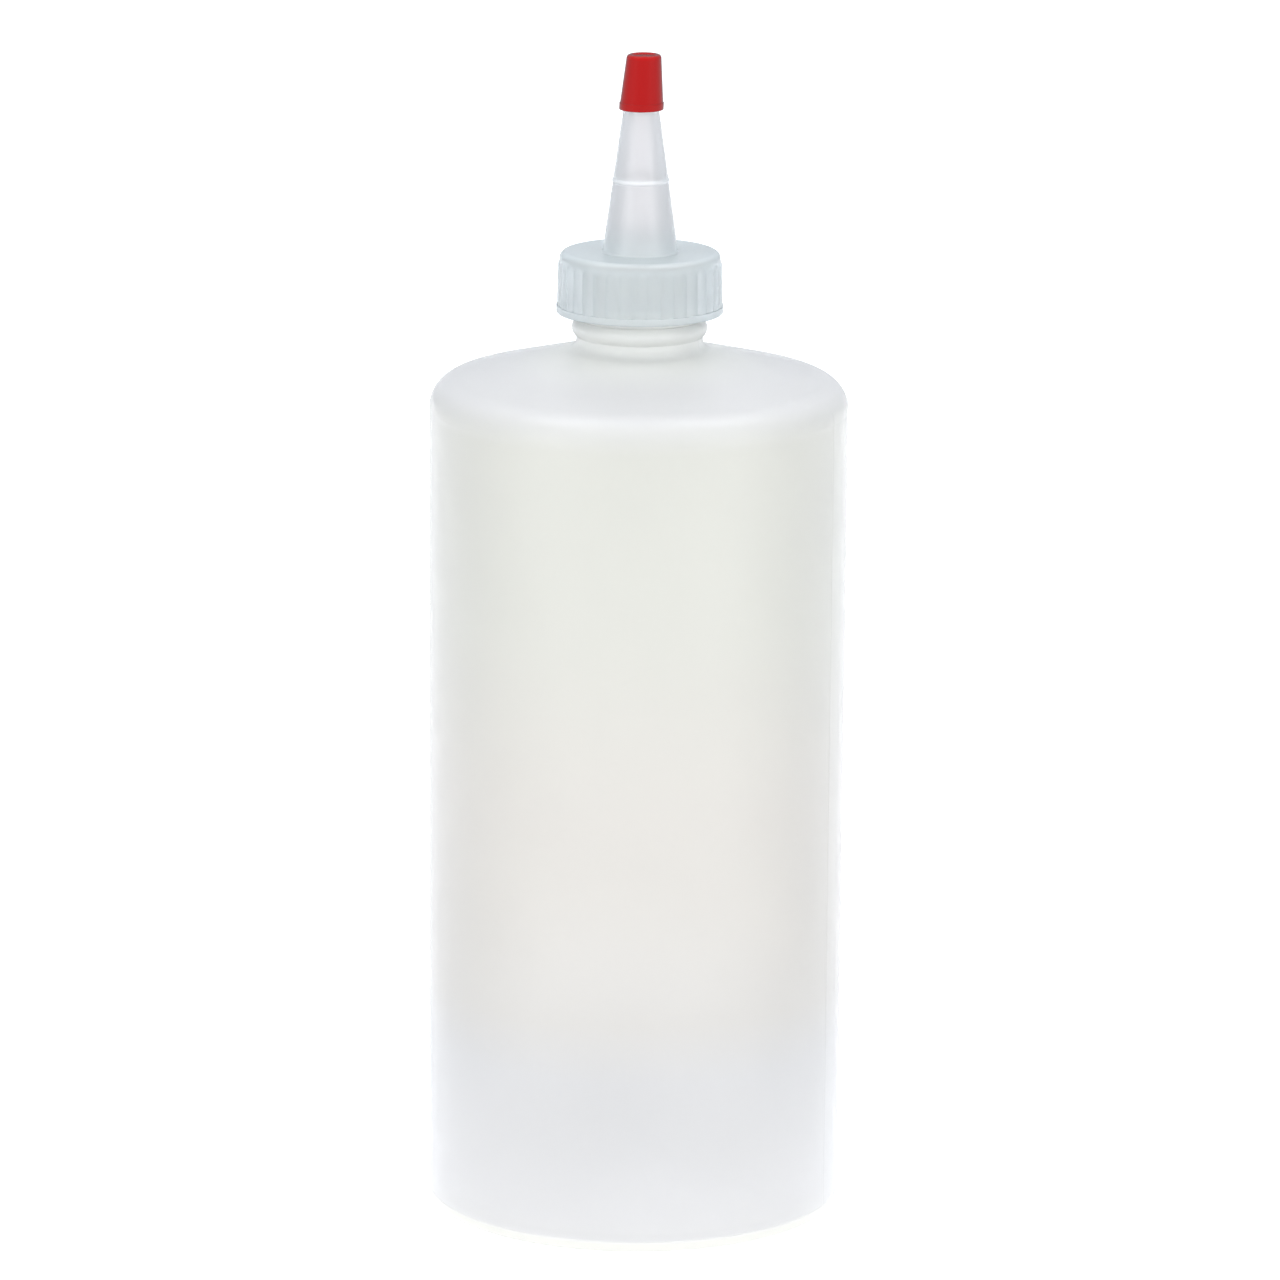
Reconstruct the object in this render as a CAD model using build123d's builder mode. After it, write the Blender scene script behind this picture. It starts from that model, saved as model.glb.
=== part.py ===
from build123d import *
from math import asin, cos, degrees, radians, tan
import os

# A squeeze bottle for glue: a round bottle with a narrow screw neck, a ribbed
# screw cap moulded in one with its tapered spout, a washer under the cap, and
# a small push-on cap that closes the spout's tip.
# Millimetres and degrees. Z points up, and the origin is the middle of the
# base, on the surface that the bottle stands on.

# ---- Driving dimensions ----

# Bottle body
body_radius = 42.5
wall = 1.2
heel_radius = 0.5
inner_heel_radius = 3.0
floor_thickness = 2.0
standing_ring_width = 4.0
ring_step = 1.0
push_up = 1.2
shoulder_slope = 14.0
shoulder_edge_radius = 6.5

# Neck, with a 28 mm one-turn screw finish of six threads to the inch
neck_root_height = 177.8
neck_radius = 12.85
neck_root_fillet = 2.4
neck_bore_radius = 10.3
bead_height = 181.9
bead_half_height = 1.75
bead_radius = 13.77
finish_radius = 12.5
neck_lip_radius = 0.5
thread_pitch = 25.4 / 6
thread_depth = 1.2
thread_sink = 0.2
thread_foot_width = 2.3
thread_crest_width = 1.0
neck_thread_turns = 1.15
neck_thread_start = 2.2

# Screw cap
skirt_bottom = 185.0
deck_top = 197.4
deck_thickness = 1.8
skirt_bore_radius = 14.05
rim_radius = 16.85
rim_height = 1.5
skirt_top_radius = 16.2
skirt_edge_radius = 1.4
skirt_lip_radius = 0.3
rib_count = 36
rib_crest_radius = 16.5
rib_round_radius = 2.75
rib_draft = 0.2
rib_top_gap = 1.5
rib_dome = 1.2
cap_thread_turns = 1.25
cap_thread_drop = 1.725
cap_thread_angle = 50

# Washer under the deck of the cap
washer_thickness = 1.0
washer_radius = 13.7
washer_hole_radius = 6.2

# Spout
spout_base_radius = 7.57
spout_half_angle = 7.9
spout_top = 235.0
spout_fillet = 0.5
spout_ledge = 1.5
spout_lip_radius = 0.3
spout_bore_bottom_radius = 6.1
orifice_radius = 0.8
ring_height = 211.9
ring_half_height = 0.45
ring_rise = 0.22

# Push-on cap of the spout's tip
tip_cap_bottom = 226.2
tip_cap_top = 237.3
tip_cap_bottom_radius = 4.32
tip_cap_top_radius = 3.45
tip_cap_clearance = 0.08
tip_cap_ceiling = 235.3
tip_rim_radius = 4.47
tip_rim_height = 1.4
tip_edge_radius = 0.7
dish_radius = 2.6
dish_depth = 0.35
tip_lip_radius = 0.2

# ---- Sizes worked out from them ----

neck_top = deck_top - deck_thickness - washer_thickness
deck_bottom = deck_top - deck_thickness
bead_top = bead_height + bead_half_height
thread_first_height = neck_top - neck_thread_start - neck_thread_turns * thread_pitch


def shoulder_height(radius):
    """Height of the outer shoulder cone at this radius."""
    return neck_root_height - (radius - neck_radius) * tan(radians(shoulder_slope))


def inner_shoulder_height(radius):
    """Height of the inner shoulder cone, one wall thickness inside."""
    return shoulder_height(radius) - wall / cos(radians(shoulder_slope))


def spout_radius(height):
    """Outer radius of the spout's cone at this height."""
    return spout_base_radius - (height - deck_top) * tan(radians(spout_half_angle))


def round_corner(corner, radius):
    """Round the corner of the current sketch that is nearest to this point."""
    fillet(vertices().sort_by_distance(corner)[0], radius)


def thread_ridge(root_radius, crest_radius, first_height, turns):
    """A helical ridge with a trapezium section, on a cylinder of root_radius.

    The crest lies outside the root on the neck and inside it in the cap. The
    foot of the ridge is sunk a little way into the wall, so that they join."""
    outward = 1 if crest_radius > root_radius else -1
    foot_radius = root_radius - thread_sink * outward
    with BuildPart() as ridge:
        with BuildLine():
            spiral = Helix(
                thread_pitch, turns * thread_pitch, root_radius, center=(0, 0, first_height)
            )
        with BuildSketch(Plane.XZ):
            with BuildLine():
                Polyline(
                    (foot_radius, first_height - thread_foot_width / 2),
                    (crest_radius, first_height - thread_crest_width / 2),
                    (crest_radius, first_height + thread_crest_width / 2),
                    (foot_radius, first_height + thread_foot_width / 2),
                    close=True,
                )
            make_face()
        sweep(path=spiral, is_frenet=True)
    return ridge.part


os.makedirs("parts", exist_ok=True)

# ---- Bottle: body, shoulder and threaded neck, blown as one piece ----

ring_inner_radius = body_radius - standing_ring_width
dome_edge_radius = ring_inner_radius - ring_step
dome_sphere_radius = (dome_edge_radius**2 + push_up**2) / (2 * push_up)
dome_angle = degrees(asin(dome_edge_radius / dome_sphere_radius))

neck_thread = thread_ridge(
    finish_radius, finish_radius + thread_depth, thread_first_height, neck_thread_turns
)

with BuildPart() as bottle:
    # The outside, with the recess under the base
    with BuildSketch(Plane.XZ):
        with BuildLine():
            dome = CenterArc(
                (0, ring_step + push_up - dome_sphere_radius), dome_sphere_radius, 90, -dome_angle
            )
            Polyline(
                dome @ 1,
                (ring_inner_radius, 0),
                (body_radius, 0),
                (body_radius, shoulder_height(body_radius)),
                (neck_radius, neck_root_height),
                (neck_radius, bead_height - bead_half_height),
            )
            ThreePointArc(
                (neck_radius, bead_height - bead_half_height),
                (bead_radius, bead_height),
                (neck_radius, bead_top),
            )
            Polyline(
                (neck_radius, bead_top),
                (finish_radius, bead_top),
                (finish_radius, neck_top),
                (0, neck_top),
                dome @ 0,
            )
        make_face()
        round_corner((body_radius, 0), heel_radius)
        round_corner((body_radius, shoulder_height(body_radius)), shoulder_edge_radius)
        round_corner((neck_radius, neck_root_height), neck_root_fillet)
        round_corner((finish_radius, neck_top), neck_lip_radius)
    revolve(axis=Axis.Z)
    # The hollow, open at the top of the neck
    cavity_radius = body_radius - wall
    with BuildSketch(Plane.XZ):
        with BuildLine():
            Polyline(
                (0, ring_step + push_up + floor_thickness),
                (dome_edge_radius, ring_step + floor_thickness),
                (cavity_radius, floor_thickness),
                (cavity_radius, inner_shoulder_height(cavity_radius)),
                (neck_bore_radius, inner_shoulder_height(neck_bore_radius)),
                (neck_bore_radius, neck_top),
                (0, neck_top),
                close=True,
            )
        make_face()
        round_corner((cavity_radius, floor_thickness), inner_heel_radius)
        round_corner(
            (cavity_radius, inner_shoulder_height(cavity_radius)), shoulder_edge_radius - wall
        )
    revolve(axis=Axis.Z, mode=Mode.SUBTRACT)
    add(neck_thread)
bottle.part.label = "bottle"
export_step(bottle.part, "parts/bottle.step")

# ---- Washer: a flat foam ring that seals the cap on the rim of the neck ----

with BuildPart() as cap_washer:
    with BuildSketch(Plane.XY.offset(neck_top)):
        Circle(washer_radius)
        Circle(washer_hole_radius, mode=Mode.SUBTRACT)
    extrude(amount=washer_thickness)
cap_washer.part.label = "cap_washer"
export_step(cap_washer.part, "parts/cap_washer.step")

# ---- Spout cap: ribbed skirt, deck and tapered spout, moulded as one piece ----

cap_thread = thread_ridge(
    skirt_bore_radius,
    skirt_bore_radius - thread_depth,
    thread_first_height - cap_thread_drop + thread_pitch * cap_thread_angle / 360,
    cap_thread_turns,
)
rib_height = deck_top - rib_top_gap - skirt_bottom

with BuildPart() as spout_cap:
    # Skirt, with its plain rim and the rounded edge of the deck
    with BuildSketch(Plane.XZ):
        with BuildLine():
            Polyline(
                (0, skirt_bottom),
                (rim_radius, skirt_bottom),
                (rim_radius, skirt_bottom + rim_height),
                (skirt_top_radius + rib_draft, skirt_bottom + rim_height),
                (skirt_top_radius, deck_top),
                (0, deck_top),
                close=True,
            )
        make_face()
        round_corner((skirt_top_radius, deck_top), skirt_edge_radius)
        round_corner((rim_radius, skirt_bottom), skirt_lip_radius)
    revolve(axis=Axis.Z)
    # Grip ribs: round pillars with domed ends, sunk into the skirt
    with BuildSketch(Plane.XZ):
        with BuildLine():
            Polyline(
                (0, 0),
                (rib_round_radius + rib_draft, 0),
                (rib_round_radius, rib_height),
                (0, rib_height),
                close=True,
            )
        make_face()
        round_corner((rib_round_radius, rib_height), rib_dome)
    pillar = revolve(axis=Axis.Z, mode=Mode.PRIVATE)
    with Locations((0, 0, skirt_bottom)):
        with PolarLocations(rib_crest_radius - rib_round_radius, rib_count):
            add(pillar)
    # The spout, with its grip ring
    with BuildSketch(Plane.XZ):
        with BuildLine():
            Polyline(
                (0, spout_top),
                (0, deck_bottom),
                (spout_base_radius + spout_ledge, deck_bottom),
                (spout_base_radius + spout_ledge, deck_top),
                (spout_base_radius, deck_top),
                (spout_radius(ring_height - ring_half_height), ring_height - ring_half_height),
            )
            ThreePointArc(
                (spout_radius(ring_height - ring_half_height), ring_height - ring_half_height),
                (spout_radius(ring_height) + ring_rise, ring_height),
                (spout_radius(ring_height + ring_half_height), ring_height + ring_half_height),
            )
            Polyline(
                (spout_radius(ring_height + ring_half_height), ring_height + ring_half_height),
                (spout_radius(spout_top), spout_top),
                (0, spout_top),
            )
        make_face()
        round_corner((spout_base_radius, deck_top), spout_fillet)
        round_corner((spout_radius(spout_top), spout_top), spout_lip_radius)
    revolve(axis=Axis.Z)
    # The room for the neck, and the bore of the spout
    with BuildSketch(Plane.XY.offset(skirt_bottom)):
        Circle(skirt_bore_radius)
    extrude(amount=deck_bottom - skirt_bottom, mode=Mode.SUBTRACT)
    with BuildSketch(Plane.XZ):
        with BuildLine():
            Polyline(
                (0, deck_bottom),
                (spout_bore_bottom_radius, deck_bottom),
                (orifice_radius, spout_top),
                (0, spout_top),
                close=True,
            )
        make_face()
    revolve(axis=Axis.Z, mode=Mode.SUBTRACT)
    add(cap_thread, rotation=(0, 0, cap_thread_angle))
spout_cap.part.label = "spout_cap"
export_step(spout_cap.part, "parts/spout_cap.step")

# ---- Tip cap: a soft cup that pushes over the end of the spout ----

with BuildPart() as tip_cap:
    with BuildSketch(Plane.XZ):
        with BuildLine():
            Polyline(
                (0, tip_cap_bottom),
                (tip_rim_radius, tip_cap_bottom),
                (tip_rim_radius, tip_cap_bottom + tip_rim_height),
                (tip_cap_bottom_radius, tip_cap_bottom + tip_rim_height),
                (tip_cap_top_radius, tip_cap_top),
                (dish_radius, tip_cap_top),
                (dish_radius, tip_cap_top - dish_depth),
                (0, tip_cap_top - dish_depth),
                close=True,
            )
        make_face()
        round_corner((tip_cap_top_radius, tip_cap_top), tip_edge_radius)
        round_corner((dish_radius, tip_cap_top), tip_lip_radius)
        round_corner((tip_rim_radius, tip_cap_bottom), tip_lip_radius)
    revolve(axis=Axis.Z)
    with BuildSketch(Plane.XZ):
        with BuildLine():
            Polyline(
                (0, tip_cap_bottom),
                (spout_radius(tip_cap_bottom) + tip_cap_clearance, tip_cap_bottom),
                (spout_radius(tip_cap_ceiling) + tip_cap_clearance, tip_cap_ceiling),
                (0, tip_cap_ceiling),
                close=True,
            )
        make_face()
    revolve(axis=Axis.Z, mode=Mode.SUBTRACT)
tip_cap.part.label = "tip_cap"
export_step(tip_cap.part, "parts/tip_cap.step")
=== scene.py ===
"""Looks of the glue applicator bottle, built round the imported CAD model.

Shapes are given in millimetres, as in the CAD, and turned into metres when a
mesh is made. Heights and radii start from the boxes of the CAD nodes, and the
smaller details are offsets from those."""
from math import atan2, ceil, cos, pi, radians, sin, sqrt, tan

import bmesh
import bpy
from mathutils import Matrix, Vector, noise


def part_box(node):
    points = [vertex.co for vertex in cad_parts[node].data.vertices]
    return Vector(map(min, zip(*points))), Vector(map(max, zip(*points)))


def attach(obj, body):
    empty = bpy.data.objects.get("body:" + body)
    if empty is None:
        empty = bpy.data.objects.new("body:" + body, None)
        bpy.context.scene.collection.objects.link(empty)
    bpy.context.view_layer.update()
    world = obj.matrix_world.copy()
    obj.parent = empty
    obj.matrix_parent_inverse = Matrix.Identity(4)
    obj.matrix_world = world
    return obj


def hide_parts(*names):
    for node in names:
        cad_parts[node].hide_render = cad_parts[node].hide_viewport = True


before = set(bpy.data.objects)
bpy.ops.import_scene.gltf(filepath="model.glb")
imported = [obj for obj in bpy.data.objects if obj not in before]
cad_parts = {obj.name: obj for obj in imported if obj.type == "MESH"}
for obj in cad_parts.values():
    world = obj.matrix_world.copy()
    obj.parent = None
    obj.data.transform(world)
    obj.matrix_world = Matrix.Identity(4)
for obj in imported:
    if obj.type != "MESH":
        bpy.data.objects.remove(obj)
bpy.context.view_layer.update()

MM = 0.001


def lowest(node):
    """Lowest corner of a CAD node's box, in millimetres."""
    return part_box(node)[0] / MM


def highest(node):
    """Highest corner of a CAD node's box, in millimetres."""
    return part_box(node)[1] / MM


# ---- Sizes from the frame ----

BODY_RADIUS = highest("bottle").x
NECK_TOP = highest("bottle").z
SKIRT_BOTTOM = lowest("spout_cap").z
RIM_RADIUS = highest("spout_cap").x
SPOUT_TOP = highest("spout_cap").z
DECK_BOTTOM = highest("cap_washer").z
TIP_BOTTOM = lowest("tip_cap").z
TIP_TOP = highest("tip_cap").z
TIP_RIM_RADIUS = highest("tip_cap").x

# ---- Bottle details ----

WALL = 1.2
HEEL_ROUNDING = 0.5
INNER_HEEL_ROUNDING = 3.0
FLOOR_THICKNESS = 2.0
STANDING_RING = 4.0
RING_STEP = 1.0
RING_ROUNDING = 0.4
PUSH_UP = 1.2
# Points of the pushed-up base: shares of its radius and of its rise.
DOME_PROFILE = ((0.0, 1.0), (0.35, 0.88), (0.7, 0.5))
SHOULDER_SLOPE = radians(14.0)
SHOULDER_ROUNDING = 6.5
NECK_RADIUS = 12.85
NECK_ROOT = NECK_TOP - 16.8
NECK_ROOT_ROUNDING = 2.4
NECK_BORE = 10.3
NECK_BORE_ROUNDING = 1.5
BEAD_HEIGHT = NECK_TOP - 12.7
BEAD_HALF_HEIGHT = 1.75
BEAD_RADIUS = 13.77
BEAD_FOOT_GAP = 0.3
BEAD_TOP_GAP = 0.1
FINISH_RADIUS = 12.5
NECK_LIP_HEIGHT = 0.5
NECK_LIP_ROUNDING = 0.49
LONGEST_RUN = 6.0

# The label panel is sunk between a band at the heel and the shoulder.
PANEL_DEPTH = 0.06
PANEL_STEP = 0.6
PANEL_EDGE = 0.01
HEEL_BAND = 2.0
BAND_STEP = 0.05

# The parting line is a fine ridge that is partly even and partly uneven.
SEAM_ANGLE = radians(-23.0)
SEAM_HEIGHT = 0.07
SEAM_HALF_WIDTH = radians(0.3)
SEAM_WAVE = 7.0
SEAM_EVEN_PART = 0.7
SEAM_UNEVEN_PART = 0.6

# The blown wall's thickness drifts in slow waves, up the wall and round it.
WALL_DRIFT = 0.12
WALL_WAVE = 40.0
WALL_WAVE_ROUND = 1.5

# ---- Screw thread, the same on the neck and in the cap ----

PITCH = 25.4 / 6
THREAD_DEPTH = 1.2
THREAD_FOOT = 2.2
THREAD_CREST = 1.0
THREAD_FADE = 0.07
NECK_THREAD_TURNS = 1.15
NECK_THREAD_LOW = NECK_TOP - 2.2 - NECK_THREAD_TURNS * PITCH
CAP_THREAD_TURNS = 1.25
CAP_THREAD_ANGLE = radians(50.0)
THREAD_SHIFT = 1.725
CAP_THREAD_LOW = NECK_THREAD_LOW - THREAD_SHIFT + PITCH * CAP_THREAD_ANGLE / (2 * pi)
THREAD_STEP = 0.2

# ---- Cap and spout details ----

DECK_TOP = DECK_BOTTOM + 1.8
SKIRT_BORE = 14.05
SKIRT_MOUTH_WIDTH = 0.2
SKIRT_MOUTH_HEIGHT = 0.1
SKIRT_TOP_RADIUS = 16.2
SKIRT_EDGE_ROUNDING = 1.4
RIM_HEIGHT = 1.5
RIM_ROUNDING = 0.3
RIM_TOP_ROUNDING = 0.08

RIB_COUNT = 36
RIB_CREST = 16.5
RIB_ROUND = 2.75
RIB_DRAFT = 0.2
RIB_TOP = DECK_TOP - 1.5
RIB_DOME = 1.2
RIB_STEP = 0.4

SPOUT_BASE = 7.57
SPOUT_FOOT = SPOUT_BASE + 2.0
SPOUT_FOOT_ROUNDING = 0.5
SPOUT_HALF_ANGLE = radians(7.9)
SPOUT_STEP = 4.0
SPOUT_BORE_BASE = 6.1
SPOUT_BORE_ROUNDING = 0.3
SPOUT_TIP_ROUNDING = 0.3
ORIFICE = 0.8
ORIFICE_ROUNDING = 0.1
RING_HEIGHT = DECK_TOP + 14.5
RING_HALF_HEIGHT = 0.45
RING_RISE = 0.22

# ---- Tip cap details ----

TIP_FOOT_RADIUS = 4.32
TIP_TOP_RADIUS = 3.45
TIP_TOP_ROUNDING = 0.7
TIP_RIM_HEIGHT = 1.4
TIP_RIM_ROUNDING = 0.2
TIP_RIM_STEP = 0.1
TIP_RIM_STEP_ROUNDING = 0.1
TIP_FOOT_ROUNDING = 0.03
TIP_LEAN = radians(2.5)
TIP_STEP = 1.0

TIP_CLEARANCE = 0.08
TIP_CEILING = TIP_TOP - 1.8
TIP_CEILING_ROUNDING = 0.3
TIP_MOUTH_ROUNDING = 0.15
TIP_MOUTH_INNER = 0.2
TIP_MOUTH_OUTER = 0.3

DISH_RADIUS = 2.6
DISH_DEPTH = 0.35
DISH_EDGE_ROUNDING = 0.15
DISH_SLOPE = 0.5
DISH_FLOOR_ROUNDING = 0.4
GATE_RADIUS = 0.5
GATE_ROUNDING = 0.05
GATE_SLOPE = 0.1
GATE_HEIGHT = 0.1

# ---- Mesh fineness ----

ARC_STEP = radians(9.0)
BOTTLE_COLUMNS = 240
COLUMNS_PER_RIB = 12
TIP_COLUMNS = 96
SHARP_EDGE = radians(20.0)


# ---- Outlines: lists of (radius, height) points ----


def rounded(corners):
    """Outline through (radius, height, rounding) corners, each rounded by an arc."""
    points = []
    for index, (radius, height, rounding) in enumerate(corners):
        corner = Vector((radius, height))
        if rounding == 0:
            points.append(corner)
            continue
        to_before = (Vector(corners[index - 1][:2]) - corner).normalized()
        to_after = (Vector(corners[index + 1][:2]) - corner).normalized()
        half = to_before.angle(to_after) / 2
        centre = corner + (to_before + to_after).normalized() * rounding / sin(half)
        start = corner + to_before * rounding / tan(half) - centre
        end = corner + to_after * rounding / tan(half) - centre
        turn = atan2(start.x * end.y - start.y * end.x, start.dot(end))
        steps = max(2, ceil(abs(turn) / ARC_STEP))
        for step in range(steps + 1):
            part_turn = turn * step / steps
            across = start.x * cos(part_turn) - start.y * sin(part_turn)
            up = start.x * sin(part_turn) + start.y * cos(part_turn)
            points.append(centre + Vector((across, up)))
    return points


def bulge(wall_radius, crest_rise, middle, half_height, steps=8):
    """A round ridge on the wall, from its lower foot over its crest to the upper one.

    wall_radius(height) gives the radius that the wall has under the ridge."""
    points = []
    for step in range(steps + 1):
        across = 2 * step / steps - 1
        height = middle + half_height * across
        rise = crest_rise * (1 - across**2)
        points.append(Vector((wall_radius(height) + rise, height)))
    return points


def divided(points, longest):
    """The outline with its long straight runs cut into pieces no longer than this."""
    result = []
    for start, end in zip(points, points[1:]):
        pieces = max(1, ceil((end - start).length / longest))
        result += [start.lerp(end, piece / pieces) for piece in range(pieces)]
    return result + [points[-1]]


# ---- Meshes turned about the axis ----


def even_angles(count):
    return [2 * pi * step / count for step in range(count)]


def plain(radius, height, angle):
    return radius, height


def lathe(name, runs, angles, closed):
    """A solid turned about Z. Each run is a stretch of outline and the function that shapes it."""
    surface = bmesh.new()
    rings = []
    for points, shape in runs:
        for radius, height in points:
            if radius == 0:
                rings.append([surface.verts.new((0, 0, height * MM))] * len(angles))
                continue
            ring = []
            for angle in angles:
                r, z = shape(radius, height, angle)
                ring.append(surface.verts.new((r * cos(angle) * MM, r * sin(angle) * MM, z * MM)))
            rings.append(ring)
    following = rings[1:] + rings[:1] if closed else rings[1:]
    for ring, above in zip(rings, following):
        for left in range(len(angles)):
            right = (left + 1) % len(angles)
            corners = [ring[left], ring[right], above[right], above[left]]
            surface.faces.new(dict.fromkeys(corners))
    bmesh.ops.recalc_face_normals(surface, faces=surface.faces)
    mesh = bpy.data.meshes.new(name)
    surface.to_mesh(mesh)
    surface.free()
    mesh.shade_smooth()
    mesh.set_sharp_from_angle(angle=SHARP_EDGE)
    piece = bpy.data.objects.new(name, mesh)
    bpy.context.scene.collection.objects.link(piece)
    return piece


def smoothstep(value):
    value = min(max(value, 0.0), 1.0)
    return value * value * (3 - 2 * value)


def thread_rise(height, angle, start_height, start_angle, turns):
    """How far the thread's ridge stands off the wall at this height and angle."""
    rise = 0.0
    first_turn = ((angle - start_angle) % (2 * pi)) / (2 * pi)
    slope_run = (THREAD_FOOT - THREAD_CREST) / 2
    for turn in (first_turn, first_turn + 1):
        if turn < turns:
            distance = abs(height - start_height - turn * PITCH)
            section = min(max((THREAD_FOOT / 2 - distance) / slope_run, 0.0), 1.0)
            fade = smoothstep(turn / THREAD_FADE) * smoothstep((turns - turn) / THREAD_FADE)
            rise = max(rise, THREAD_DEPTH * section * fade)
    return rise


# ---- Bottle ----


def shoulder_height(radius):
    return NECK_ROOT - (radius - NECK_RADIUS) * tan(SHOULDER_SLOPE)


def on_mould(radius, height, angle):
    """The outside of the bottle, with the mould's parting line up two opposite sides."""
    away = abs((angle - SEAM_ANGLE + pi / 2) % pi - pi / 2)
    place = Vector((height / SEAM_WAVE, cos(angle), 0))
    uneven = SEAM_EVEN_PART + SEAM_UNEVEN_PART * noise.noise(place)
    rise = SEAM_HEIGHT * uneven * max(0.0, 1 - away / SEAM_HALF_WIDTH)
    return radius - SEAM_HEIGHT + rise, height


def neck_thread(radius, height, angle):
    rise = thread_rise(height, angle, NECK_THREAD_LOW, 0.0, NECK_THREAD_TURNS)
    return radius + rise, height


def blown_inside(radius, height, angle):
    """The inside of the bottle, where the blown wall is a little uneven."""
    across, along = WALL_WAVE_ROUND * cos(angle), WALL_WAVE_ROUND * sin(angle)
    drift = noise.noise(Vector((across, along, height / WALL_WAVE)))
    return radius + WALL_DRIFT * drift, height


def make_bottle():
    """The blown shell. Its straight wall is a label panel, sunk a little below the heel and shoulder."""
    panel = BODY_RADIUS - PANEL_DEPTH
    edge_height = shoulder_height(BODY_RADIUS)
    panel_top = edge_height - SHOULDER_ROUNDING * tan((pi / 2 - SHOULDER_SLOPE) / 2)
    ring_inner = BODY_RADIUS - STANDING_RING
    dome_edge = ring_inner - RING_STEP
    cavity = BODY_RADIUS - WALL
    inner_drop = WALL / cos(SHOULDER_SLOPE)
    bead_foot = BEAD_HEIGHT - BEAD_HALF_HEIGHT
    bead_top = BEAD_HEIGHT + BEAD_HALF_HEIGHT
    dome = [(dome_edge * out, RING_STEP + PUSH_UP * up, 0) for out, up in DOME_PROFILE]
    outside = dome + [
        (dome_edge, RING_STEP, RING_ROUNDING),
        (ring_inner, 0, RING_ROUNDING),
        (BODY_RADIUS, 0, HEEL_ROUNDING),
        (BODY_RADIUS, HEEL_BAND, 0),
        (panel, HEEL_BAND + BAND_STEP, 0),
        (panel, panel_top - PANEL_STEP, 0),
        (BODY_RADIUS, panel_top - PANEL_EDGE, 0),
        (BODY_RADIUS, edge_height, SHOULDER_ROUNDING),
        (NECK_RADIUS, NECK_ROOT, NECK_ROOT_ROUNDING),
        (NECK_RADIUS, bead_foot - BEAD_FOOT_GAP, 0),
    ]
    bead_rise = BEAD_RADIUS - NECK_RADIUS
    bead = bulge(lambda height: NECK_RADIUS, bead_rise, BEAD_HEIGHT, BEAD_HALF_HEIGHT)
    lip_foot = NECK_TOP - NECK_LIP_HEIGHT
    finish = [(FINISH_RADIUS, bead_top + BEAD_TOP_GAP, 0), (FINISH_RADIUS, lip_foot, 0)]
    lip = [
        (FINISH_RADIUS, lip_foot, 0),
        (FINISH_RADIUS, NECK_TOP, NECK_LIP_ROUNDING),
        (NECK_BORE, NECK_TOP, NECK_LIP_ROUNDING),
        (NECK_BORE, NECK_ROOT, 0),
    ]
    inside = [
        (NECK_BORE, NECK_ROOT, 0),
        (NECK_BORE, shoulder_height(NECK_BORE) - inner_drop, NECK_BORE_ROUNDING),
        (cavity, shoulder_height(cavity) - inner_drop, SHOULDER_ROUNDING - WALL),
        (cavity, FLOOR_THICKNESS, INNER_HEEL_ROUNDING),
        (dome_edge, RING_STEP + FLOOR_THICKNESS, 0),
        (0, RING_STEP + PUSH_UP + FLOOR_THICKNESS, 0),
    ]
    runs = [
        (divided(rounded(outside), LONGEST_RUN), on_mould),
        (bead, on_mould),
        (divided(rounded(finish), THREAD_STEP), neck_thread),
        (rounded(lip)[1:-1], plain),
        (divided(rounded(inside), LONGEST_RUN), blown_inside),
    ]
    seam_columns = [
        SEAM_ANGLE + side + SEAM_HALF_WIDTH * offset for side in (0, pi) for offset in (-1, 0, 1)
    ]
    angles = sorted(angle % (2 * pi) for angle in even_angles(BOTTLE_COLUMNS) + seam_columns)
    return lathe("bottle_shell", runs, angles, closed=False)


# ---- Spout cap ----


def spout_radius(height):
    return SPOUT_BASE - (height - DECK_TOP) * tan(SPOUT_HALF_ANGLE)


def ribbed(radius, height, angle):
    """The skirt's side, with the grip ribs as upright round pillars with domed tops."""
    rib_pitch = 2 * pi / RIB_COUNT
    away = (angle + rib_pitch / 2) % rib_pitch - rib_pitch / 2
    climbed = (height - SKIRT_BOTTOM) / (RIB_TOP - SKIRT_BOTTOM)
    pillar = RIB_ROUND + RIB_DRAFT * (1 - climbed)
    into_dome = min(max(height - RIB_TOP + RIB_DOME, 0.0), RIB_DOME)
    pillar -= RIB_DOME - sqrt(RIB_DOME**2 - into_dome**2)
    centre = RIB_CREST - RIB_ROUND
    across = centre * sin(away)
    rib_radius = centre * cos(away) + sqrt(max(pillar**2 - across**2, 0.0))
    if height > RIB_TOP:
        rib_radius = 0.0
    return max(radius, rib_radius), height


def cap_thread(radius, height, angle):
    rise = thread_rise(height, angle, CAP_THREAD_LOW, CAP_THREAD_ANGLE, CAP_THREAD_TURNS)
    return radius - rise, height


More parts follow.
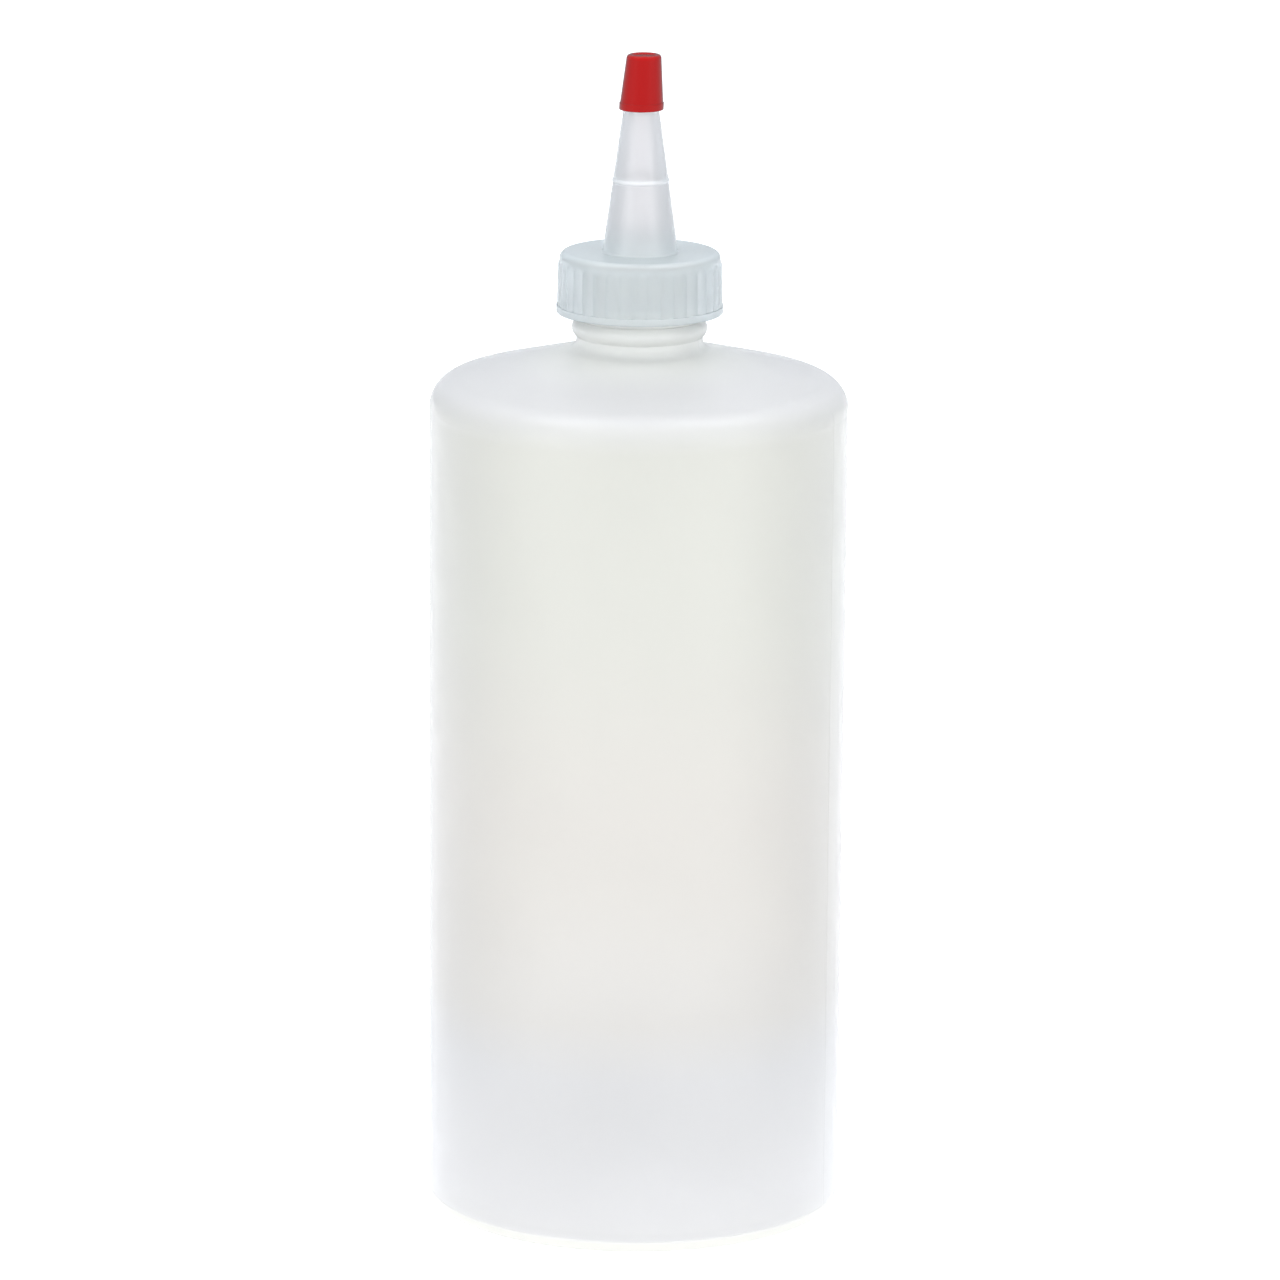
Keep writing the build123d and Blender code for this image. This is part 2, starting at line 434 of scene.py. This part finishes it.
def make_spout_cap():
    rim_top = SKIRT_BOTTOM + RIM_HEIGHT
    skirt_foot_radius = SKIRT_TOP_RADIUS + RIB_DRAFT
    ring_foot = RING_HEIGHT - RING_HALF_HEIGHT
    ring_top = RING_HEIGHT + RING_HALF_HEIGHT
    rim = [
        (SKIRT_BORE, SKIRT_BOTTOM, 0),
        (SKIRT_BORE + SKIRT_MOUTH_WIDTH, SKIRT_BOTTOM, 0),
        (RIM_RADIUS, SKIRT_BOTTOM, RIM_ROUNDING),
        (RIM_RADIUS, rim_top, RIM_TOP_ROUNDING),
        (skirt_foot_radius, rim_top, 0),
    ]
    side = [
        (skirt_foot_radius, rim_top, 0),
        (SKIRT_TOP_RADIUS, DECK_TOP, SKIRT_EDGE_ROUNDING),
        (SPOUT_FOOT, DECK_TOP, 0),
    ]
    spout_foot = [
        (SPOUT_FOOT, DECK_TOP, 0),
        (SPOUT_BASE, DECK_TOP, SPOUT_FOOT_ROUNDING),
        (spout_radius(ring_foot), ring_foot, 0),
    ]
    ring = bulge(spout_radius, RING_RISE, RING_HEIGHT, RING_HALF_HEIGHT)
    spout_tip = [
        (spout_radius(ring_top), ring_top, 0),
        (spout_radius(SPOUT_TOP), SPOUT_TOP, SPOUT_TIP_ROUNDING),
        (ORIFICE, SPOUT_TOP, ORIFICE_ROUNDING),
        (SPOUT_BORE_BASE, DECK_BOTTOM, SPOUT_BORE_ROUNDING),
        (SKIRT_BORE, DECK_BOTTOM, 0),
    ]
    bore = [(SKIRT_BORE, DECK_BOTTOM, 0), (SKIRT_BORE, SKIRT_BOTTOM + SKIRT_MOUTH_HEIGHT, 0)]
    runs = [
        (rounded(rim)[:-1], plain),
        (divided(rounded(side), RIB_STEP), ribbed),
        (divided(rounded(spout_foot), SPOUT_STEP)[1:-1], plain),
        (ring, plain),
        (divided(rounded(spout_tip), SPOUT_STEP)[1:-1], plain),
        (divided(rounded(bore), THREAD_STEP), cap_thread),
    ]
    angles = even_angles(RIB_COUNT * COLUMNS_PER_RIB)
    return lathe("spout_cap_shell", runs, angles, closed=True)


# ---- Tip cap ----


def make_tip_cap():
    """The push-on cup. Its outside leans a little, as a cap pressed on by hand does."""
    rim_top = TIP_BOTTOM + TIP_RIM_HEIGHT
    dish = TIP_TOP - DISH_DEPTH
    mouth = spout_radius(TIP_BOTTOM) + TIP_CLEARANCE
    inside = [
        (0, TIP_CEILING, 0),
        (spout_radius(TIP_CEILING) + TIP_CLEARANCE, TIP_CEILING, TIP_CEILING_ROUNDING),
        (mouth, TIP_BOTTOM, TIP_MOUTH_ROUNDING),
        (mouth + TIP_MOUTH_INNER, TIP_BOTTOM, 0),
    ]
    outside = [
        (mouth + TIP_MOUTH_OUTER, TIP_BOTTOM, 0),
        (TIP_RIM_RADIUS, TIP_BOTTOM, TIP_RIM_ROUNDING),
        (TIP_RIM_RADIUS, rim_top, TIP_RIM_STEP_ROUNDING),
        (TIP_FOOT_RADIUS, rim_top + TIP_RIM_STEP, TIP_FOOT_ROUNDING),
        (TIP_TOP_RADIUS, TIP_TOP, TIP_TOP_ROUNDING),
        (DISH_RADIUS, TIP_TOP, DISH_EDGE_ROUNDING),
        (DISH_RADIUS - DISH_SLOPE, dish, DISH_FLOOR_ROUNDING),
        (GATE_RADIUS, dish, GATE_ROUNDING),
        (GATE_RADIUS - GATE_SLOPE, dish + GATE_HEIGHT, 0),
        (0, dish + GATE_HEIGHT, 0),
    ]
    inside_points = divided(rounded(inside), TIP_STEP)
    outside_points = divided(rounded(outside), TIP_STEP)
    runs = [(inside_points, plain), (outside_points, plain)]
    piece = lathe("tip_cap_cup", runs, even_angles(TIP_COLUMNS), closed=False)
    centre_vertices = 1
    inside_vertices = centre_vertices + (len(inside_points) - 1) * TIP_COLUMNS
    for vertex in piece.data.vertices[inside_vertices:]:
        vertex.co.x += (vertex.co.z - TIP_BOTTOM * MM) * tan(TIP_LEAN)
    return piece


# ---- Materials ----

COOL_WALL_TOP = 35.0
WARM_WALL_FOOT = 47.0
WARM_WALL_TOP = 90.0
CREAM_WALL_FOOT = 125.0
SHARP_CHANGE = 0.1

PLASTIC_IOR = 1.51
BOTTLE_COAT_IOR = 1.62
DRIFT_SIZE = 30.0
WAVE_SIZE = 7.0
TEXTURE_SIZE = 0.4
NO_COAT = (0.0, 0.1)

# Painted light: the heel band's colour paints in the light that the table throws up into the thick heel.
HEEL_BAND_PAINTED_LIGHT = (0.9, 0.885, 0.82)
# Painted light: the low wall is lighter, standing in for the light from the table.
LOW_WALL_PAINTED_LIGHT = (0.985, 0.975, 0.97)
COOL_WALL = (0.94, 0.935, 0.93)
WARM_WALL = (0.9, 0.875, 0.83)
CREAM_WALL = (0.89, 0.885, 0.83)
# Painted shade: the shoulder's grey tint is kept low to dim its highlight and the light at the neck's
# root.
SHOULDER_PAINTED_SHADE = (0.89, 0.885, 0.885)
# Painted light: the neck is lightened to lift it out of the shade under the cap.
NECK_PAINTED_LIGHT = (0.985, 0.99, 0.96)
TEAL_SKIRT = (0.95, 0.985, 0.99)
PALE_SPOUT = (0.915, 0.9, 0.9)
# Painted highlight: the spout's ring is brightened to stand in for the light it catches.
PAINTED_RING_HIGHLIGHT = (1.0, 1.0, 1.0)


def material_nodes(name):
    material = bpy.data.materials.new(name)
    material.use_nodes = True
    return material, material.node_tree.nodes, material.node_tree.links


def noise_in_millimetres(nodes, links, size, detail):
    """A noise pattern with features about this many millimetres across."""
    place = nodes.new("ShaderNodeTexCoord")
    pattern = nodes.new("ShaderNodeTexNoise")
    pattern.inputs["Scale"].default_value = 1 / (size * MM)
    pattern.inputs["Detail"].default_value = detail
    links.new(place.outputs["Object"], pattern.inputs["Vector"])
    return pattern.outputs["Fac"]


def ranged(nodes, links, value, low, high):
    """A value from 0.3 to 0.7, as noise gives, turned into one from low to high."""
    spread = nodes.new("ShaderNodeMapRange")
    spread.inputs["From Min"].default_value = 0.3
    spread.inputs["From Max"].default_value = 0.7
    spread.inputs["To Min"].default_value = low
    spread.inputs["To Max"].default_value = high
    links.new(value, spread.inputs["Value"])
    return spread.outputs["Result"]


def by_height(nodes, links, top, stops):
    """A colour that changes with height, through (height, colour) stops, up to this top."""
    place = nodes.new("ShaderNodeTexCoord")
    split = nodes.new("ShaderNodeSeparateXYZ")
    links.new(place.outputs["Object"], split.inputs["Vector"])
    fraction = nodes.new("ShaderNodeMath")
    fraction.operation = "DIVIDE"
    fraction.inputs[1].default_value = top * MM
    links.new(split.outputs["Z"], fraction.inputs[0])
    return ramp(nodes, links, fraction.outputs["Value"], [(h / top, c) for h, c in stops])


def ramp(nodes, links, value, stops):
    """A colour picked by a value from 0 to 1, through (value, colour) stops."""
    colours = nodes.new("ShaderNodeValToRGB")
    while len(colours.color_ramp.elements) < len(stops):
        colours.color_ramp.elements.new(1.0)
    for element, (position, colour) in zip(colours.color_ramp.elements, stops):
        element.position = position
        element.color = (*colour, 1)
    links.new(value, colours.inputs["Fac"])
    return colours.outputs["Color"]


def blended(nodes, links, kind, factor, low, high):
    """Two colours blended. The factor and the colours are values or sockets."""
    blend = nodes.new("ShaderNodeMix")
    blend.data_type = "RGBA"
    blend.blend_type = kind
    for name, value in (("Factor", factor), ("A", low), ("B", high)):
        if isinstance(value, bpy.types.NodeSocket):
            links.new(value, blend.inputs[name])
        else:
            blend.inputs[name].default_value = value if name == "Factor" else (*value, 1)
    return blend.outputs["Result"]


def moulded_plastic(name, colours, edge, roughness, transmission, coat, texture_height, wave_height):
    """Moulded plastic: its colour drifts slowly, and fine texture and slow waves mark its surface.

    The edge is a colour painted where the surface turns away, painted light on some plastics and painted
    shade on others, and how late it comes in. The coat is the weight and the roughness of the clear
    surface layer."""
    material, nodes, links = material_nodes(name)
    painted_edge_colour, edge_lateness = edge
    coat_weight, coat_roughness = coat
    shader = nodes["Principled BSDF"]
    shader.inputs["IOR"].default_value = PLASTIC_IOR
    shader.inputs["Transmission Weight"].default_value = transmission
    shader.inputs["Coat Weight"].default_value = coat_weight
    shader.inputs["Coat Roughness"].default_value = coat_roughness
    drift = ranged(nodes, links, noise_in_millimetres(nodes, links, DRIFT_SIZE, 1.0), 0.0, 1.0)
    body_colour = blended(nodes, links, "MIX", drift, *colours)
    # The outline is painted: the colour is blended towards the edge colour where the surface turns away,
    # painting light on some plastics and shade on others.
    turned_away = nodes.new("ShaderNodeLayerWeight")
    at_edge = nodes.new("ShaderNodeMath")
    at_edge.operation = "POWER"
    at_edge.inputs[1].default_value = edge_lateness
    links.new(turned_away.outputs["Facing"], at_edge.inputs[0])
    with_painted_edge = blended(nodes, links, "MIX", at_edge.outputs["Value"], body_colour, painted_edge_colour)
    links.new(with_painted_edge, shader.inputs["Base Color"])
    fine = noise_in_millimetres(nodes, links, TEXTURE_SIZE, 3.0)
    links.new(ranged(nodes, links, fine, *roughness), shader.inputs["Roughness"])
    grain = nodes.new("ShaderNodeBump")
    grain.inputs["Distance"].default_value = texture_height * MM
    links.new(fine, grain.inputs["Height"])
    waves = nodes.new("ShaderNodeBump")
    waves.inputs["Distance"].default_value = wave_height * MM
    links.new(noise_in_millimetres(nodes, links, WAVE_SIZE, 1.0), waves.inputs["Height"])
    links.new(grain.outputs["Normal"], waves.inputs["Normal"])
    links.new(waves.outputs["Normal"], shader.inputs["Normal"])
    return material


def tinted(material, top, stops):
    """Multiplies a plastic's colour by one that changes with height."""
    nodes, links = material.node_tree.nodes, material.node_tree.links
    base = nodes["Principled BSDF"].inputs["Base Color"]
    tint = by_height(nodes, links, top, stops)
    links.new(blended(nodes, links, "MULTIPLY", 1.0, base.links[0].from_socket, tint), base)


def weighted(material, socket, top, stops):
    """Lets one of a plastic's weights change with height."""
    nodes, links = material.node_tree.nodes, material.node_tree.links
    greys = [(height, (weight, weight, weight)) for height, weight in stops]
    links.new(by_height(nodes, links, top, greys), nodes["Principled BSDF"].inputs[socket])


def bottle_polythene():
    """Natural polythene, cool near the base, creamy up the wall and milkier where it is thick, with
    painted light whitening its outline, and light and shade painted in by height: painted light from the
    table in the heel band and the lighter low wall, painted light lifting the neck out of the cap's
    shade, and painted shade keeping the shoulder grey.
    """
    colours = ((0.98, 0.98, 0.98), (1.0, 1.0, 1.0))
    # Painted light: the colour whitens towards the outline, standing in for the bright rim that the
    # surroundings give.
    edge = ((1.0, 1.0, 1.0), 4.0)
    material = moulded_plastic(
        "bottle_polythene",
        colours,
        edge,
        roughness=(0.4, 0.46),
        transmission=0.85,
        coat=(1.0, 0.26),
        texture_height=0.001,
        wave_height=0.006,
    )
    shader = material.node_tree.nodes["Principled BSDF"]
    shoulder_top = shoulder_height(BODY_RADIUS)
    wall_top = shoulder_top - SHOULDER_ROUNDING
    tints = [
        # Heel band: painted light from the table, on plastic that is thick here.
        (HEEL_BAND, HEEL_BAND_PAINTED_LIGHT),
        # Low wall: lighter, with painted light from the table.
        (HEEL_BAND + SHARP_CHANGE, LOW_WALL_PAINTED_LIGHT),
        (COOL_WALL_TOP, COOL_WALL),
        (WARM_WALL_FOOT, WARM_WALL),
        (WARM_WALL_TOP, WARM_WALL),
        (CREAM_WALL_FOOT, CREAM_WALL),
        (wall_top, CREAM_WALL),
        # Shoulder: grey, with painted shade dimming its highlight.
        (shoulder_top, SHOULDER_PAINTED_SHADE),
        (NECK_ROOT - 4.0, SHOULDER_PAINTED_SHADE),
        # Neck: painted light, lifting it out of the cap's shade.
        (NECK_ROOT - 1.0, NECK_PAINTED_LIGHT),
    ]
    clearness = [
        # The heel band and the neck are milkier where the plastic is thick, and their milkiness also
        # paints in light.
        (HEEL_BAND, 0.3),
        (HEEL_BAND + SHARP_CHANGE, 0.5),
        (FLOOR_THICKNESS + INNER_HEEL_ROUNDING + 1.0, 0.64),
        (COOL_WALL_TOP, 0.85),
        (wall_top, 0.85),
        (shoulder_top, 0.6),
        (NECK_ROOT, 0.55),
    ]
    shader.inputs["Coat IOR"].default_value = BOTTLE_COAT_IOR
    tinted(material, NECK_TOP, tints)
    weighted(material, "Transmission Weight", NECK_TOP, clearness)
    weighted(material, "Coat Weight", NECK_TOP, [(wall_top, 1.0), (shoulder_top, 0.25)])
    return material


def cap_polythene():
    """Natural polythene, greenish where the cap is thick and paler up the spout, with painted shade
    darkening it towards its outline and a painted highlight on the spout's ring.
    """
    colours = ((0.98, 0.98, 0.98), (1.0, 1.0, 1.0))
    # Painted shade: the colour darkens to grey teal towards the outline, standing in for light lost
    # along the longer path through the wall.
    edge = ((0.68, 0.74, 0.76), 1.0)
    material = moulded_plastic(
        "cap_polythene",
        colours,
        edge,
        roughness=(0.36, 0.42),
        transmission=0.85,
        coat=(0.5, 0.2),
        texture_height=0.0003,
        wave_height=0.004,
    )
    tints = [
        (DECK_TOP, TEAL_SKIRT),
        (DECK_TOP + 6.0, PALE_SPOUT),
        (RING_HEIGHT - RING_HALF_HEIGHT, PALE_SPOUT),
        # The ring: a painted highlight.
        (RING_HEIGHT, PAINTED_RING_HIGHLIGHT),
        (RING_HEIGHT + RING_HALF_HEIGHT, PALE_SPOUT),
    ]
    clearness = [
        (DECK_TOP - 0.4, 0.82),
        (DECK_TOP - 0.1, 0.6),
        (DECK_TOP + 4.0, 0.85),
        (RING_HEIGHT - RING_HALF_HEIGHT, 0.85),
        # The ring is made less clear too, so that its painted highlight shows.
        (RING_HEIGHT, 0.35),
        (RING_HEIGHT + RING_HALF_HEIGHT, 0.85),
    ]
    tinted(material, SPOUT_TOP, tints)
    weighted(material, "Transmission Weight", SPOUT_TOP, clearness)
    return material


def tip_vinyl():
    """Red vinyl, with a painted dark reflection where it turns away and painted light brightening it
    round the dish in its top.
    """
    colours = ((0.34, 0.0015, 0.001), (0.38, 0.002, 0.0015))
    # Painted reflection: the red darkens to near black towards the outline, as if dark surroundings were
    # reflected there.
    edge = ((0.01, 0.0005, 0.0005), 2.0)
    material = moulded_plastic(
        "tip_vinyl",
        colours,
        edge,
        roughness=(0.36, 0.42),
        transmission=0.0,
        coat=NO_COAT,
        texture_height=0.002,
        wave_height=0.01,
    )
    material.node_tree.nodes["Principled BSDF"].inputs["Specular IOR Level"].default_value = 0.2
    # Painted light: the top round the dish is brightened, as if more light fell on it.
    tinted(material, TIP_TOP, [(TIP_TOP - 0.7, (1.0, 1.0, 1.0)), (TIP_TOP - 0.4, (1.3, 1.3, 1.3))])
    return material


def washer_foam():
    """White foamed plastic, matt and finely pitted."""
    colours = ((0.82, 0.82, 0.79), (0.88, 0.88, 0.86))
    # Painted shade: the colour greys a little towards the outline.
    edge = ((0.8, 0.8, 0.78), 2.0)
    return moulded_plastic(
        "washer_foam",
        colours,
        edge,
        roughness=(0.7, 0.85),
        transmission=0.0,
        coat=NO_COAT,
        texture_height=0.05,
        wave_height=0.03,
    )


# ---- Stage, lights and camera ----

# The camera's place is in millimetres, and the lights and the floor are in metres.
CAMERA_DISTANCE = 1423.4
CAMERA_HEIGHT = 454.0
CAMERA_ACROSS = 0.57
CAMERA_PITCH = 0.2325
CAMERA_ROLL = radians(0.45)
CAMERA_LENS = 201.9
SENSOR_WIDTH = 36.0
LIGHT_TARGET = Vector((0, 0, 0.12))
SOFTBOX_POWER = 6.0
OVERHEAD_POWER = 2.0
HORIZON = (0.8, 0.84, 0.9)
OVERHEAD = (1.15, 1.18, 1.22)
FLOOR_GLOW = (0.76, 0.775, 0.805)
FLOOR_GLOW_STRENGTH = 1.3
FLOOR_GREY = (0.3, 0.3, 0.3)
FLOOR_RADIUS = 4.0
FLOOR_GAP = 0.0002


def make_floor():
    """A pale round table top, lit from below so that it stays white all round the bottle."""
    mesh = bpy.data.meshes.new("pale_floor")
    surface = bmesh.new()
    bmesh.ops.create_circle(surface, cap_ends=True, segments=96, radius=FLOOR_RADIUS)
    surface.to_mesh(mesh)
    surface.free()
    floor = bpy.data.objects.new("pale_floor", mesh)
    floor.location.z = -FLOOR_GAP
    bpy.context.scene.collection.objects.link(floor)
    material, nodes, links = material_nodes("pale_floor")
    shader = nodes["Principled BSDF"]
    shader.inputs["Base Color"].default_value = (*FLOOR_GREY, 1)
    shader.inputs["Roughness"].default_value = 0.8
    shader.inputs["Emission Color"].default_value = (*FLOOR_GLOW, 1)
    shader.inputs["Emission Strength"].default_value = FLOOR_GLOW_STRENGTH
    mesh.materials.append(material)


def make_light(name, place, width, height, power, reflected):
    """A rectangular lamp that faces the bottle. Its place and size are in metres.

    It lights the bottle even where it isn't reflected in the plastic."""
    light = bpy.data.lights.new(name, "AREA")
    light.shape = "RECTANGLE"
    light.size = width
    light.size_y = height
    light.energy = power
    lamp = bpy.data.objects.new(name, light)
    lamp.location = place
    lamp.rotation_euler = (LIGHT_TARGET - lamp.location).to_track_quat("-Z", "Y").to_euler()
    lamp.visible_glossy = reflected
    bpy.context.scene.collection.objects.link(lamp)


def make_lights():
    """A large softbox in front and a small lamp above, on each side.

    The softboxes aren't reflected, or from behind their glare would hide the shoulder's edge."""
    for side, name in ((-1, "left"), (1, "right")):
        make_light(f"{name}_softbox", (side * 1.25, -1.0, 0.5), 0.8, 1.1, SOFTBOX_POWER, reflected=False)
        make_light(f"{name}_overhead", (side * 0.5, -0.1, 1.3), 0.3, 0.6, OVERHEAD_POWER, reflected=True)


def make_camera():
    camera = bpy.data.objects.new("camera", bpy.data.cameras.new("camera"))
    camera.data.lens = CAMERA_LENS
    camera.data.sensor_width = SENSOR_WIDTH
    place = Vector((CAMERA_ACROSS, -CAMERA_DISTANCE, CAMERA_HEIGHT)) * MM
    pitch = Matrix.Rotation(pi / 2 - CAMERA_PITCH, 4, "X")
    camera.matrix_world = Matrix.Translation(place) @ pitch @ Matrix.Rotation(CAMERA_ROLL, 4, "Z")
    bpy.context.scene.collection.objects.link(camera)
    bpy.context.scene.camera = camera


def make_world():
    """A studio that is dimmer towards the horizon than overhead."""
    world = bpy.data.worlds.new("soft_studio")
    world.use_nodes = True
    nodes, links = world.node_tree.nodes, world.node_tree.links
    direction = nodes.new("ShaderNodeTexCoord")
    split = nodes.new("ShaderNodeSeparateXYZ")
    links.new(direction.outputs["Generated"], split.inputs["Vector"])
    sky = [(0.0, HORIZON), (0.35, HORIZON), (0.8, OVERHEAD)]
    links.new(ramp(nodes, links, split.outputs["Z"], sky), nodes["Background"].inputs["Color"])
    nodes["Background"].inputs["Strength"].default_value = 1.0
    bpy.context.scene.world = world
    bpy.context.scene.view_settings.view_transform = "Standard"


# ---- The whole scene ----


def place(piece, body, node, slot, material):
    piece.data.materials.append(material)
    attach(piece, body)
    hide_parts(node)


make_camera()
make_world()
make_floor()
make_lights()

place(make_bottle(), "bottle_body", "bottle", "bottle_polythene", bottle_polythene())
place(make_spout_cap(), "cap_body", "spout_cap", "cap_polythene", cap_polythene())
place(make_tip_cap(), "tip_cap_body", "tip_cap", "tip_cap_red", tip_vinyl())

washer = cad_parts["cap_washer"]
washer.data.materials.clear()
washer.data.materials.append(washer_foam())
